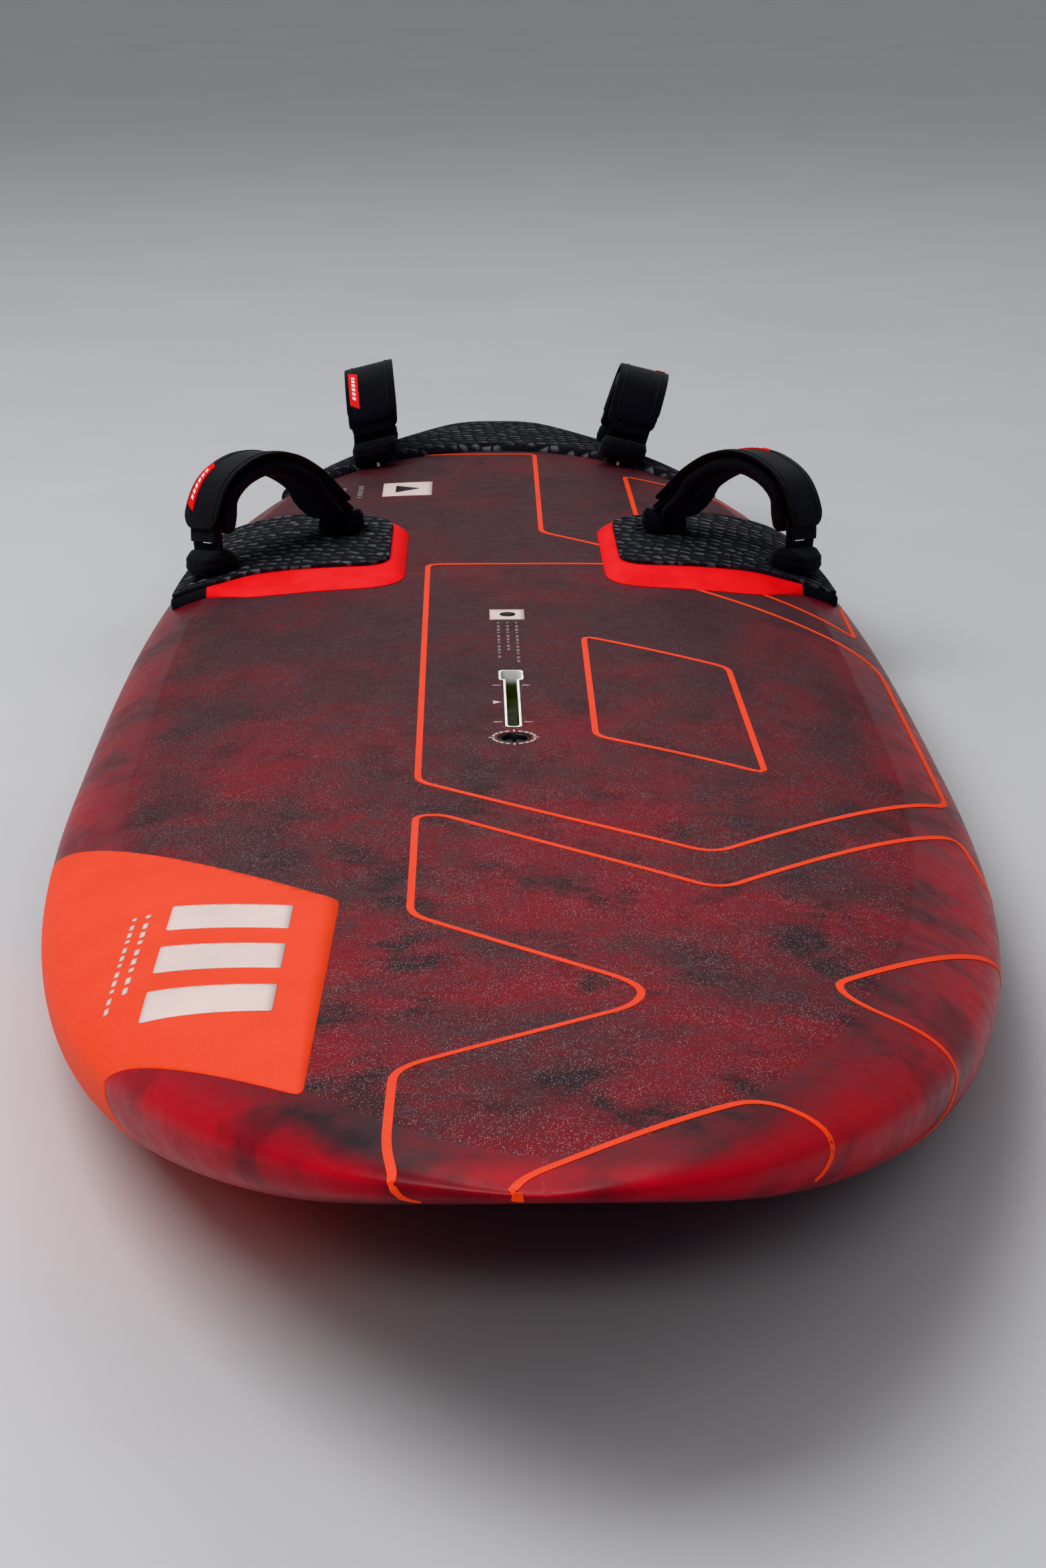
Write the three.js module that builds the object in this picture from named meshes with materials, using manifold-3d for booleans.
// Windsurf board for freestyle and small waves, with its pads, foot straps and fittings.
// Millimetres. +Z up, nose toward -Y, tail toward +Y. The origin is under the middle of the
// board, on the surface that its flat bottom rests on.
import * as THREE from 'three';
import { mergeVertices } from 'three/addons/utils/BufferGeometryUtils.js';
import { ParametricGeometry } from 'three/addons/geometries/ParametricGeometry.js';
import Module from 'manifold-3d';

const wasm = await Module();
wasm.setup();

// ---- driving dimensions ----
const HALF_LENGTH = 1162;
const HALF_WIDTH = 344;
const THICKNESS = 118;
const WIDEST_Y = -201;
const ROCKER_START_Y = -349;
const NOSE_LIFT = 169;
const NOSE_DECK_RISE = 65;
const TAIL_DROP_START_Y = 201;
const TAIL_DECK_DROP = 26;
const RAIL_HEIGHT_SHARE = 0.474;
const NOSE_ROUND_LENGTH = 150;
const NOSE_OVERRUN = 30;
const NOSE_BLUNT_LENGTH = 70;
const TAIL_ROUND_LENGTH = 60;
const GAP = 0.3;

const SKIN = 4;
const SECTION_SIDES = 20;
const STATIONS = 20;
const ROUND_SIDES = 12;

const TRACK_Y = [-214, -78];
const ENTRY_Y = [-81, -55];
const TRACK_SLOT = 9.2;
const ENTRY_WIDTH = 16.6;
const TRACK_RIM = 2;
const TRACK_BODY = {
  width: 36, end: 14, top: 112.8, depth: 42, channelWidth: 24, channelTop: 11, channelDepth: 13,
};

const FIN_BOX = { y: [820, 1032], width: 26, depth: 36, slotWidth: 10, slotDepth: 29, end: 7 };

const VENT_Y = -244;
const VENT = { outer: 12.2, recess: 9.9, bore: 6.3, recessDepth: 9, depth: 24 };
const VENT_SCREW = { headTop: -3.2, headUnder: -6.4, tip: -20 };

const PAD_BASE = 8.4;
const PAD_TOP = 3;
const PAD_HOLE = 6;
const REAR_PAD = 8;

const STRAP = {
  width: 62, webWidth: 40, tabWidth: 46, flapWidth: 56,
  web: 3, flap: 3, cushion: 15, plate: 4.6, plateLength: 32, seat: 3, cushionTop: 5.4, apex: 95,
};
const SCREW = { radius: 2.9, head: 6.4, headHeight: 3.2, length: 24 };
const INSERT = { length: 70, width: 18, depth: 17, holePitch: 23, holeRadius: 3.3 };

const STRAPS = [
  {
    name: 'front_left', outboard: [-272, 333], inboard: [-156, 434],
    side: 1, lean: 0, label: [60, 106],
  },
  {
    name: 'front_right', outboard: [272, 333], inboard: [156, 434],
    side: -1, lean: 0, label: [132, 178],
  },
  {
    name: 'rear_left', outboard: [-137, 866], inboard: [-139, 1014],
    side: 1, lean: -0.16, label: [60, 106],
  },
  {
    name: 'rear_right', outboard: [137, 866], inboard: [139, 1014],
    side: -1, lean: -0.06, label: [132, 178],
  },
];

// ---- materials ----
const paint = (colour, roughness, metalness = 0) =>
  new THREE.MeshStandardMaterial({ color: colour, roughness, metalness });
const MATERIALS = {
  deck: () => paint('#6e2c30', 0.45),
  bottom: () => paint('#5a2428', 0.35),
  foam: () => paint('#e9e6dc', 0.9),
  whitePlastic: () => paint('#e4e2de', 0.45),
  blackPlastic: () => paint('#17171a', 0.5),
  redFoam: () => paint('#f0201c', 0.75),
  greyFoam: () => paint('#232427', 0.85),
  neoprene: () => paint('#101012', 0.9),
  webbing: () => paint('#1b1b1e', 0.85),
  steel: () => paint('#b9bcc0', 0.3, 0.9),
  rubber: () => paint('#0c0c0d', 0.8),
  label: () => paint('#e8211d', 0.6),
};

// ---- solids ----
function weld(geometry) {
  const plain = geometry.clone();
  plain.deleteAttribute('normal');
  plain.deleteAttribute('uv');
  const merged = mergeVertices(plain, 1e-3);
  const index = merged.index.array;
  const kept = [];
  for (let i = 0; i < index.length; i += 3) {
    const [a, b, c] = [index[i], index[i + 1], index[i + 2]];
    if (a !== b && b !== c && c !== a) kept.push(a, b, c);
  }
  merged.setIndex(kept);
  return merged;
}

function signedVolume(geometry) {
  const p = geometry.attributes.position;
  const [a, b, c] = [new THREE.Vector3(), new THREE.Vector3(), new THREE.Vector3()];
  let sum = 0;
  for (let i = 0; i < geometry.index.count; i += 3) {
    a.fromBufferAttribute(p, geometry.index.getX(i));
    b.fromBufferAttribute(p, geometry.index.getX(i + 1));
    c.fromBufferAttribute(p, geometry.index.getX(i + 2));
    sum += a.dot(b.cross(c));
  }
  return sum / 6;
}

function solid(geometry) {
  const closed = weld(geometry);
  const triangles = Uint32Array.from(closed.index.array);
  if (signedVolume(closed) < 0) triangles.reverse();
  const vertices = Float32Array.from(closed.attributes.position.array);
  const mesh = new wasm.Mesh({ numProp: 3, vertProperties: vertices, triVerts: triangles });
  return new wasm.Manifold(mesh);
}

function geometryOf(manifold) {
  const mesh = manifold.getMesh();
  const geometry = new THREE.BufferGeometry();
  geometry.setAttribute('position', new THREE.BufferAttribute(mesh.vertProperties, 3));
  geometry.setIndex(new THREE.BufferAttribute(mesh.triVerts, 1));
  geometry.computeVertexNormals();
  return geometry;
}

const board = new THREE.Group();

function addNode(name, manifold, material) {
  const mesh = new THREE.Mesh(geometryOf(manifold), material);
  mesh.name = name;
  board.add(mesh);
}

const box = (width, length, height, x, y, z) =>
  solid(new THREE.BoxGeometry(width, length, height).translate(x, y, z));

function uprightCylinder(radius, height, x, y, z) {
  const round = new THREE.CylinderGeometry(radius, radius, height, ROUND_SIDES + 4);
  return solid(round.rotateX(Math.PI / 2).translate(x, y, z));
}

// A plan outline drawn in X and Y, standing between two heights.
function prism(shape, low, high) {
  const settings = { depth: high - low, bevelEnabled: false, curveSegments: 3 };
  return solid(new THREE.ExtrudeGeometry(shape, settings).translate(0, 0, low));
}

function slotOutline(width, start, end, corner) {
  const half = width / 2;
  const shape = new THREE.Shape();
  shape.moveTo(-half, start + corner);
  shape.lineTo(-half, end - corner);
  shape.absarc(-half + corner, end - corner, corner, Math.PI, Math.PI / 2, true);
  shape.absarc(half - corner, end - corner, corner, Math.PI / 2, 0, true);
  shape.absarc(half - corner, start + corner, corner, 0, -Math.PI / 2, true);
  shape.absarc(-half + corner, start + corner, corner, -Math.PI / 2, -Math.PI, true);
  return shape;
}

// ---- hull form ----
function halfWidth(y, inset = 0) {
  const tip = HALF_LENGTH - inset;
  if (y < WIDEST_Y) {
    const toNose = (WIDEST_Y - y) / (WIDEST_Y + tip + NOSE_OVERRUN);
    const fromTip = Math.min(Math.max((y + tip) / NOSE_BLUNT_LENGTH, 0), 1);
    const blunt = Math.sqrt(1 - (1 - fromTip) ** 2.4);
    return (HALF_WIDTH - inset) * (1 - toNose ** 2.5) ** 0.77 * blunt;
  }
  const toTail = Math.min((y - WIDEST_Y) / (tip - WIDEST_Y), 1);
  return (HALF_WIDTH - inset) * (1 - toTail ** 2.83) ** 0.525;
}

const noseShare = (y) => Math.max((ROCKER_START_Y - y) / (ROCKER_START_Y + HALF_LENGTH), 0);
const tailShare = (y) => Math.max((y - TAIL_DROP_START_Y) / (HALF_LENGTH - TAIL_DROP_START_Y), 0);
const bottomHeight = (y) => NOSE_LIFT * noseShare(y) ** 2.4;

function deckHeight(y) {
  const rise = NOSE_DECK_RISE * noseShare(y) ** 1.6;
  const drop = TAIL_DECK_DROP * tailShare(y) ** 1.6;
  return THICKNESS + rise - drop;
}

function railHeight(y) {
  return bottomHeight(y) + (deckHeight(y) - bottomHeight(y)) * RAIL_HEIGHT_SHARE;
}

// The section closes toward both tips over a rounded length.
function tipRound(y, inset) {
  const toNose = Math.min((y + HALF_LENGTH - inset) / NOSE_ROUND_LENGTH, 1);
  const toTail = Math.min((HALF_LENGTH - inset - y) / TAIL_ROUND_LENGTH, 1);
  const round = (share) => Math.sqrt(Math.max(1 - (1 - share) ** 2.6, 0));
  return round(toNose) * round(toTail);
}

const power = (value, exponent) => Math.sign(value) * Math.abs(value) ** exponent;

// One point of the hull skin: station 0 at the nose to 1 at the tail, turn once round the section.
function hullPoint(station, turn, inset, target) {
  const y = -(HALF_LENGTH - inset) * Math.cos(Math.PI * station);
  const angle = 2 * Math.PI * turn;
  const width = halfWidth(y, inset);
  const round = tipRound(y, inset);
  const rail = railHeight(y);
  if (turn <= 0.25 || turn >= 0.75) {
    const rise = (deckHeight(y) - inset - rail) * round;
    return target.set(width * power(Math.sin(angle), 2 / 3.2), y, rail + rise * Math.cos(angle));
  }
  // Below the rails the steps shorten toward the centreline, so the bottom stays flat.
  const fromCentre = (angle - Math.PI) / (Math.PI / 2);
  const low = (Math.PI / 2) * fromCentre ** 2;
  const across = -Math.sign(fromCentre) * Math.sin(low) ** (2 / 10);
  const fall = (rail - bottomHeight(y) - inset) * round;
  return target.set(width * across, y, rail - fall * Math.cos(low) ** (2 / 2.4));
}

function hullSolid(inset) {
  const form = (turn, station, target) => hullPoint(station, turn, inset, target);
  return solid(new ParametricGeometry(form, SECTION_SIDES, STATIONS));
}

// Everything above the rail line, used to part the deck skin from the bottom skin.
function aboveRails(clearance) {
  const shape = new THREE.Shape();
  const reach = HALF_LENGTH + 20;
  const steps = 24;
  shape.moveTo(reach, 400);
  shape.lineTo(-reach, 400);
  for (let i = 0; i <= steps; i += 1) {
    const y = -reach + (2 * reach * i) / steps;
    shape.lineTo(y, railHeight(y) + clearance);
  }
  const settings = { depth: 2 * HALF_WIDTH + 40, bevelEnabled: false };
  const slab = new THREE.ExtrudeGeometry(shape, settings).translate(0, 0, -HALF_WIDTH - 20);
  return solid(slab.rotateX(Math.PI / 2).rotateZ(Math.PI / 2));
}

// ---- deck surface, for everything that lies on it ----
function deckPoint(x, y, lift = 0) {
  const height = (px, py) => {
    const share = Math.min(Math.abs(px) / halfWidth(py), 0.999);
    const rise = (deckHeight(py) - railHeight(py)) * tipRound(py, 0);
    return railHeight(py) + rise * Math.sqrt(1 - share ** 3.2);
  };
  const step = 0.5;
  const slopeX = (height(x + step, y) - height(x - step, y)) / (2 * step);
  const slopeY = (height(x, y + step) - height(x, y - step)) / (2 * step);
  const normal = new THREE.Vector3(-slopeX, -slopeY, 1).normalize();
  return { point: new THREE.Vector3(x, y, height(x, y)).addScaledVector(normal, lift), normal };
}

// ---- mast track box ----
function trackPlan(extra) {
  const slot = slotOutline(TRACK_SLOT + 2 * extra, TRACK_Y[0] - extra, TRACK_Y[1], 4);
  const entry = slotOutline(ENTRY_WIDTH + 2 * extra, ENTRY_Y[0] - extra, ENTRY_Y[1] + extra, 4);
  return prism(slot, 40, 200).add(prism(entry, 40, 200));
}

function trackBodyOutline(extra) {
  const ends = [TRACK_Y[0] - TRACK_BODY.end - extra, ENTRY_Y[1] + TRACK_BODY.end + extra];
  return slotOutline(TRACK_BODY.width + 2 * extra, ends[0], ends[1], 8);
}

function mastTrackBox() {
  const neck = trackPlan(TRACK_RIM).intersect(box(60, 260, 40, 0, -130, THICKNESS - 20));
  const channelTop = THICKNESS - TRACK_BODY.channelTop;
  const channel = slotOutline(TRACK_BODY.channelWidth, TRACK_Y[0], ENTRY_Y[1], 4);
  const floor = channelTop - TRACK_BODY.channelDepth;
  const opening = trackPlan(0).intersect(box(60, 260, 60, 0, -130, floor + 30));
  const body = prism(trackBodyOutline(0), TRACK_BODY.top - TRACK_BODY.depth, TRACK_BODY.top);
  return body.add(neck).subtract(prism(channel, floor, channelTop)).subtract(opening);
}

// ---- fin box ----
function finBoxOutline(extra) {
  return slotOutline(FIN_BOX.width + 2 * extra, FIN_BOX.y[0] - extra, FIN_BOX.y[1] + extra, 6);
}

function finBox() {
  const slotEnds = [FIN_BOX.y[0] + FIN_BOX.end, FIN_BOX.y[1] - FIN_BOX.end];
  const slot = slotOutline(FIN_BOX.slotWidth, slotEnds[0], slotEnds[1], 4);
  const groove = slotOutline(FIN_BOX.slotWidth + 6, slotEnds[0] + 25, slotEnds[1], 4);
  return prism(finBoxOutline(0), 0, FIN_BOX.depth)
    .subtract(prism(slot, -5, FIN_BOX.slotDepth))
    .subtract(prism(groove, 8, 14));
}

// ---- vent ----
function lathe(profile, y, height) {
  const points = profile.map(([radius, z]) => new THREE.Vector2(radius, z));
  const turned = new THREE.LatheGeometry(points, ROUND_SIDES + 4).rotateX(Math.PI / 2);
  return solid(turned.translate(0, y, height));
}

function ventHousing() {
  const { outer, recess, bore, recessDepth, depth } = VENT;
  const profile = [
    [bore, -depth], [outer, -depth], [outer, 0], [recess, 0], [recess, -recessDepth],
    [bore, -recessDepth], [bore, -depth],
  ];
  return lathe(profile, VENT_Y, THICKNESS - 0.2);
}

function ventScrew() {
  const { headTop, headUnder, tip } = VENT_SCREW;
  const profile = [
    [0, tip], [5.2, tip], [5.9, tip + 1], [5.9, headUnder], [9.2, headUnder],
    [9.2, headTop - 0.8], [8.4, headTop], [0, headTop],
  ];
  const coinSlot = box(2.4, 13, 2.6, 0, VENT_Y, THICKNESS + headTop);
  return lathe(profile, VENT_Y, THICKNESS).subtract(coinSlot);
}

function ventRing() {
  const ring = new THREE.TorusGeometry(7.4, 1.1, 8, ROUND_SIDES + 4).translate(0, VENT_Y, THICKNESS - 7.9);
  return solid(ring);
}

// ---- pads ----
// A pad is built from rings of points round a centre. Its foot ring lies on the deck and its
// shoulder ring stands at full height; both are shrunk toward the centre in the same steps.
const PAD_RINGS = [0.85, 0.5, 0];
const PAD_POINTS = 32;

function padSolid({ foot, shoulder, centre, low, edge, high }) {
  const levels = [
    { ring: foot, scale: 0, lift: low },
    { ring: foot, scale: 1, lift: low },
    { ring: foot, scale: 1, lift: edge },
    { ring: shoulder, scale: 1, lift: high },
    ...PAD_RINGS.map((scale) => ({ ring: shoulder, scale, lift: high })),
  ];
  const count = foot.length;
  const form = (around, level, target) => {
    const { ring, scale, lift } = levels[Math.round(level * (levels.length - 1))];
    const [x, y] = ring[Math.round(around * count) % count];
    const px = centre[0] + (x - centre[0]) * scale;
    const py = centre[1] + (y - centre[1]) * scale;
    return target.copy(deckPoint(px, py, lift).point);
  };
  return solid(new ParametricGeometry(form, count, levels.length - 1));
}

// Corner points with a radius each become one smooth closed ring of evenly spaced points.
function ringOf(corners, count) {
  const path = new THREE.Path();
  const total = corners.length;
  const towards = (from, to, distance) => {
    const length = Math.hypot(to[0] - from[0], to[1] - from[1]);
    const share = Math.min(distance / length, 0.5);
    return [from[0] + (to[0] - from[0]) * share, from[1] + (to[1] - from[1]) * share];
  };
  corners.forEach(([x, y, radius], i) => {
    const before = corners[(i + total - 1) % total];
    const after = corners[(i + 1) % total];
    const start = towards([x, y], before, radius);
    const end = towards([x, y], after, radius);
    if (i === 0) path.moveTo(...start);
    else path.lineTo(...start);
    path.quadraticCurveTo(x, y, ...end);
  });
  path.closePath();
  return path.getSpacedPoints(count).slice(0, count).map((p) => [p.x, p.y]);
}

const railSide = (y, share) => halfWidth(y) * share;

function frontPadRings(side) {
  const foot = [
    [94, 232, 50], [232, 230, 45], [262, 260, 10], [284, 281, 8], [railSide(290, 0.945), 284, 12],
    [railSide(400, 0.955), 400, 120], [railSide(566, 0.955), 566, 24], [206, 560, 40], [94, 488, 34],
  ];
  const shoulder = [
    [108, 284, 34], [240, 295, 30], [262, 284.5, 10], [283, 286, 6], [railSide(292, 0.935), 289, 12],
    [railSide(400, 0.945), 400, 120], [railSide(562, 0.945), 562, 20], [208, 554, 36], [108, 484, 30],
  ];
  const mirror = (corners) => ringOf(corners, PAD_POINTS).map(([x, y]) => [x * side, y]);
  return { foot: mirror(foot), shoulder: mirror(shoulder), centre: [200 * side, 410] };
}

function frontPadBase(side, height) {
  return padSolid({ ...frontPadRings(side), low: -14, edge: 0.9, high: height });
}

// The top layer is what stands above the base once it is cut by the base and the gap.
function frontPadTop(side) {
  const { shoulder, centre } = frontPadRings(side);
  const high = PAD_BASE + GAP + PAD_TOP;
  const inward = (point) => point.map((value, i) => centre[i] + (value - centre[i]) * 0.99);
  const inner = shoulder.map(inward);
  const slab = padSolid({ foot: inner, shoulder: inner, centre, low: 8, edge: high, high });
  return slab.subtract(frontPadBase(side, PAD_BASE + GAP));
}

function rearPadRing(share, shift) {
  const ring = [];
  const frontSteps = 10;
  const sideSteps = 8;
  const frontY = (x) => 938 + shift - 128 * (x / 192) ** 2;
  const cornerX = 196 - shift;
  for (let i = 0; i < frontSteps; i += 1) {
    const x = cornerX * (-1 + (2 * i) / frontSteps);
    ring.push([x, frontY(x)]);
  }
  for (let i = 0; i < sideSteps; i += 1) {
    const y = 806 + shift + (HALF_LENGTH * 0.985 - 806 - shift) * Math.sin((Math.PI / 2) * (i / sideSteps));
    ring.push([railSide(y, share), y]);
  }
  for (let i = 0; i <= sideSteps; i += 1) {
    const y = 806 + shift + (HALF_LENGTH * 0.985 - 806 - shift) * Math.cos((Math.PI / 2) * (i / sideSteps));
    ring.push([-railSide(y, share), y]);
  }
  return ring;
}

function rearPad() {
  const rings = { foot: rearPadRing(0.94, 0), shoulder: rearPadRing(0.925, 6), centre: [0, 1060] };
  return padSolid({ ...rings, low: -3, edge: 0.9, high: REAR_PAD });
}

// ---- foot straps ----
// Strap frame: X from the outboard anchor to the inboard one, Z away from the pad, Y across.
function strapFrame(spec, padHeight) {
  const a = deckPoint(...spec.outboard, padHeight);
  const b = deckPoint(...spec.inboard, padHeight);
  const x = b.point.clone().sub(a.point).normalize();
  const z = a.normal.clone().add(b.normal);
  z.addScaledVector(x, -z.dot(x)).normalize();
  const y = z.clone().cross(x);
  const middle = a.point.clone().add(b.point).multiplyScalar(0.5);
  const matrix = new THREE.Matrix4().makeBasis(x, y, z).setPosition(middle);
  return { matrix, half: a.point.distanceTo(b.point) / 2 };
}

function archPath(half) {
  const knots = [
    [-half - 1, 3], [-half - 6, 9], [-half - 7, 30], [-half + 1, 58], [-half + 21, 83],
    [-20, STRAP.apex], [14, 88], [42, 67], [63, 40], [half + 5, 15], [half + 6, 7.5], [half - 1, 3],
  ];
  return new THREE.CatmullRomCurve3(knots.map(([x, z]) => new THREE.Vector3(x, z, 0)));
}

// A band that follows the arch between two distances along it, between two offsets from it.
// Bands bend at shared places along the arch, so stacked bands keep their gap.
function archBand(curve, from, to, inner, outer, width, bevel = 0, step = 16) {
  const length = curve.getLength();
  const places = [from];
  for (let at = step * Math.ceil((from + 4) / step); at < to - 4; at += step) places.push(at);
  places.push(to);
  const sample = (distance, offset) => {
    const point = curve.getPointAt(distance / length);
    const tangent = curve.getTangentAt(distance / length);
    return new THREE.Vector2(point.x - tangent.y * offset, point.y + tangent.x * offset);
  };
  const outerSide = places.map((distance) => sample(distance, outer));
  const innerSide = places.map((distance) => sample(distance, inner)).reverse();
  const settings = {
    depth: width - 2 * bevel, bevelEnabled: bevel > 0, bevelThickness: bevel,
    bevelSize: bevel, bevelOffset: -bevel, bevelSegments: 1,
  };
  const band = new THREE.ExtrudeGeometry(new THREE.Shape([...outerSide, ...innerSide]), settings);
  return band.translate(0, 0, -width / 2 + bevel).rotateX(Math.PI / 2);
}

// The arch can lean to one side: every height shifts it across.
function leaned(geometry, lean) {
  return geometry.applyMatrix4(new THREE.Matrix4().makeShear(0, 0, 0, 0, 0, lean));
}

const placed = (geometry, matrix) => solid(geometry.applyMatrix4(matrix));

function strapPost(radius, x, low, high) {
  const post = new THREE.CylinderGeometry(radius, radius, high - low, ROUND_SIDES - 4);
  return post.rotateX(Math.PI / 2).translate(x, 0, (low + high) / 2);
}

function strapBlock(length, width, low, high, x) {
  return new THREE.BoxGeometry(length, width, high - low).translate(x, 0, (low + high) / 2);
}

// The moulded lobe behind a foot's tongue: [distance outward from the anchor, height].
const LOBE = [[1, 1.4], [16, 1.4], [17, 2.2], [21.5, 6], [22, 13], [19, 18], [14.5, 20], [3, 20]];

function footLobe(half, end, lean) {
  const shape = new THREE.Shape(LOBE.map(([out, high]) => new THREE.Vector2(end * (half + out), high)));
  const bevel = 3;
  const depth = STRAP.tabWidth + 2 - 2 * bevel;
  const settings = { depth, bevelThickness: bevel, bevelSize: bevel, bevelOffset: -bevel, bevelSegments: 1 };
  const lobe = new THREE.ExtrudeGeometry(shape, settings);
  return leaned(lobe.translate(0, 0, -depth / 2).rotateX(Math.PI / 2), lean);
}

// A foot is a screwed plate with a tongue that stands up inside the arch and has a slot.
function strapFoot({ matrix, curve, half, lean }, end) {
  const length = curve.getLength();
  const band = (near, far, inner, outer, width) => {
    const [from, to] = end < 0 ? [near, far] : [length - far, length - near];
    return leaned(archBand(curve, from, to, inner, outer, width, 0, 8), lean);
  };
  const tongue = placed(band(0, 60, -4.6, -1.2, STRAP.tabWidth), matrix);
  const slot = placed(band(27, 34, -9, 9, 22), matrix);
  const { plate: thick, plateLength, tabWidth, seat } = STRAP;
  const plate = placed(strapBlock(plateLength, tabWidth, -seat, thick - seat, end * half), matrix);
  const hole = placed(strapPost(SCREW.radius + 0.4, end * half, -10, 20), matrix);
  const headRoom = placed(strapPost(SCREW.head + 0.6, end * half, thick - seat, 20), matrix);
  const lobe = placed(footLobe(half, end, lean), matrix);
  return plate.add(lobe.add(tongue).subtract(headRoom)).subtract(hole).subtract(slot);
}

function strapScrew({ matrix, half }, end) {
  const { radius, head, headHeight, length } = SCREW;
  const profile = [
    [0, -length], [radius, -length], [radius, 0], [head, 0], [head, 1.4],
    [head - 2.4, headHeight], [0, headHeight],
  ];
  const points = profile.map(([r, z]) => new THREE.Vector2(r, z));
  const turned = new THREE.LatheGeometry(points, ROUND_SIDES - 2).rotateX(Math.PI / 2);
  const socket = new THREE.CylinderGeometry(2.4, 2.4, 4, 6).rotateX(Math.PI / 2).translate(0, 0, headHeight);
  const height = STRAP.plate - STRAP.seat + GAP;
  const seat = new THREE.Matrix4().makeTranslation(end * half, 0, height);
  const toBoard = matrix.clone().multiply(seat);
  return placed(turned, toBoard).subtract(placed(socket, toBoard));
}

function insertBlock({ matrix, half, padHeight }, end, extra) {
  const top = -padHeight + 12;
  const low = -padHeight - INSERT.depth - extra;
  const block = strapBlock(INSERT.length + 2 * extra, INSERT.width + 2 * extra, low, top, end * half);
  return placed(block, matrix);
}

function anchorHoles({ matrix, half, padHeight }, end, radius, depth, top) {
  return [-1, 0, 1].map((step) => {
    const x = end * half + step * INSERT.holePitch;
    return placed(strapPost(radius, x, -padHeight - depth, top), matrix);
  });
}

const cutAll = (body, cutters) => cutters.reduce((left, cutter) => left.subtract(cutter), body);

// The soft pad is pressed in under each foot plate and punched over every insert hole.
function padCutters(strap) {
  const [length, width] = [STRAP.plateLength + 2 * GAP, STRAP.tabWidth + 2 * GAP];
  return [-1, 1].flatMap((end) => {
    const seat = strapBlock(length, width, -STRAP.seat - GAP, 40, end * strap.half);
    return [placed(seat, strap.matrix), ...anchorHoles(strap, end, PAD_HOLE, 12, 30)];
  });
}

// ---- assembly ----
const hullOuter = hullSolid(0);
const hullClear = hullSolid(-GAP);
const hullInner = hullSolid(SKIN);
const coreForm = hullSolid(SKIN + GAP + 0.2);

const straps = STRAPS.map((spec) => {
  const padHeight = spec.name.startsWith('front') ? PAD_BASE + GAP + PAD_TOP : REAR_PAD;
  const frame = strapFrame(spec, padHeight);
  return { ...spec, ...frame, padHeight, curve: archPath(frame.half) };
});
const insertRooms = straps.flatMap((strap) => [-1, 1].map((end) => insertBlock(strap, end, GAP)));

const trackHole = trackPlan(TRACK_RIM + GAP);
const ventHole = uprightCylinder(VENT.outer + GAP, 80, 0, VENT_Y, THICKNESS);
const finHole = prism(finBoxOutline(GAP), -20, FIN_BOX.depth + GAP);
const trackFloor = TRACK_BODY.top - TRACK_BODY.depth - GAP;
const trackRoom = prism(trackBodyOutline(GAP), trackFloor, THICKNESS + 20);
const ventRoom = uprightCylinder(VENT.outer + GAP, 90, 0, VENT_Y, THICKNESS + 44 - VENT.depth);

const skin = hullOuter.subtract(hullInner);
const deckShell = cutAll(skin.intersect(aboveRails(GAP / 2)), [trackHole, ventHole, ...insertRooms]);
addNode('deck_shell', deckShell, MATERIALS.deck());
addNode('bottom_shell', skin.subtract(aboveRails(-GAP / 2)).subtract(finHole), MATERIALS.bottom());
addNode('foam_core', cutAll(coreForm, [trackRoom, ventRoom, finHole, ...insertRooms]), MATERIALS.foam());
addNode('mast_track_box', mastTrackBox(), MATERIALS.whitePlastic());
addNode('fin_box', finBox(), MATERIALS.blackPlastic());
addNode('vent_housing', ventHousing(), MATERIALS.blackPlastic());
addNode('vent_o_ring', ventRing(), MATERIALS.rubber());
addNode('vent_screw', ventScrew(), MATERIALS.blackPlastic());

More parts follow.
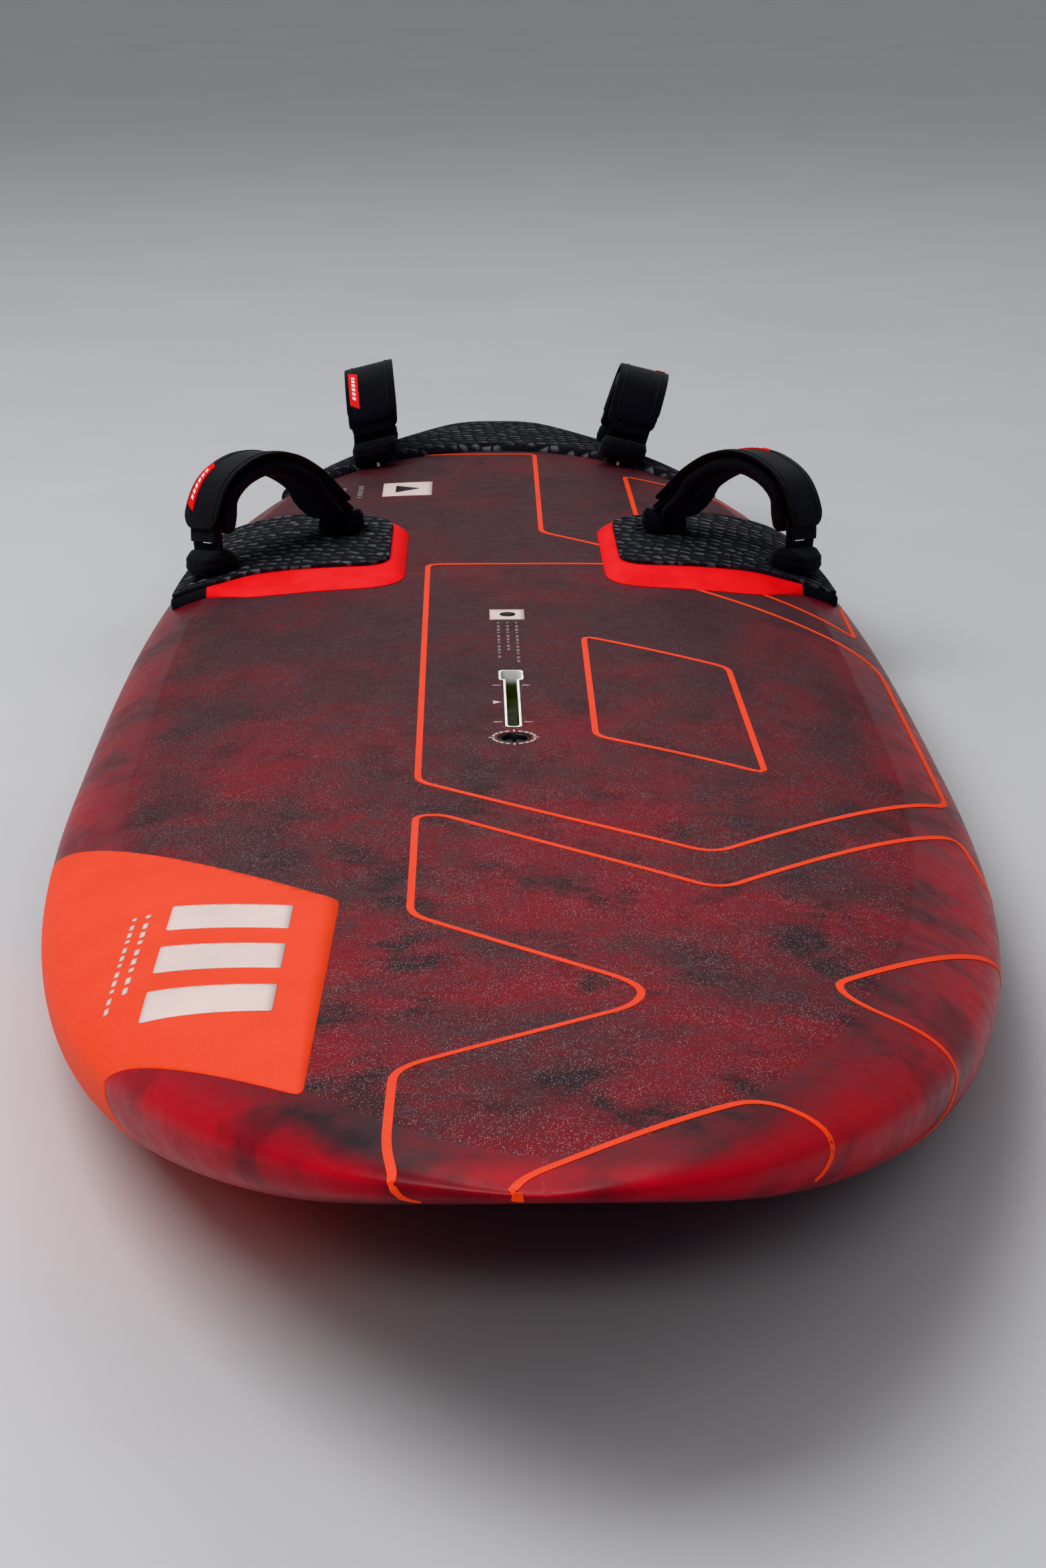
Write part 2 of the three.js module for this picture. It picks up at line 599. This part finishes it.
for (const strap of straps.filter((one) => one.name.startsWith('front'))) {
  const side = Math.sign(strap.outboard[0]);
  const cutters = padCutters(strap);
  const base = frontPadBase(side, PAD_BASE).subtract(hullClear);
  addNode(`${strap.name}_pad_base`, cutAll(base, cutters), MATERIALS.redFoam());
  addNode(`${strap.name}_pad_top`, cutAll(frontPadTop(side), cutters), MATERIALS.greyFoam());
}
const rearCutters = straps.filter((one) => one.name.startsWith('rear')).flatMap(padCutters);
addNode('rear_pad', cutAll(rearPad().subtract(hullClear), rearCutters), MATERIALS.greyFoam());

// The layers over the foot: cushion inside, webbing, and the flap outside with its label.
function addStrapLayers({ name, curve, matrix, lean, side, label }) {
  const { web, flap, cushion, width, webWidth, flapWidth } = STRAP;
  const length = curve.getLength();
  const under = -STRAP.cushionTop;
  const over = web + GAP;
  const labelInner = over + flap + GAP;
  const layer = (from, to, inner, outer, across, bevel = 0) =>
    placed(leaned(archBand(curve, from, to, inner, outer, across, bevel), lean), matrix);
  const labelBand = archBand(curve, label[0], label[1], labelInner, labelInner + 0.6, 10);
  const shiftedLabel = leaned(labelBand.translate(0, side * 19, 0), lean);
  const pad = layer(38, length - 30, under - cushion, under, width, 5);
  addNode(`${name}_cushion`, pad, MATERIALS.neoprene());
  addNode(`${name}_webbing`, layer(38, length - 30, 0, web, webWidth), MATERIALS.webbing());
  const cover = layer(42, length - 36, over, over + flap, flapWidth);
  addNode(`${name}_cover_flap`, cover, MATERIALS.neoprene());
  addNode(`${name}_label`, placed(shiftedLabel, matrix), MATERIALS.label());
}

function addStrapFittings(strap) {
  const { name } = strap;
  for (const [place, end] of [['outboard', -1], ['inboard', 1]]) {
    const insert = insertBlock(strap, end, 0).intersect(hullOuter);
    const holes = anchorHoles(strap, end, INSERT.holeRadius, 15, 30);
    addNode(`${name}_foot_${place}`, strapFoot(strap, end), MATERIALS.blackPlastic());
    addNode(`${name}_screw_${place}`, strapScrew(strap, end), MATERIALS.steel());
    addNode(`${name}_insert_${place}`, cutAll(insert, holes), MATERIALS.blackPlastic());
  }
}

for (const strap of straps) {
  addStrapLayers(strap);
  addStrapFittings(strap);
}

export default board;
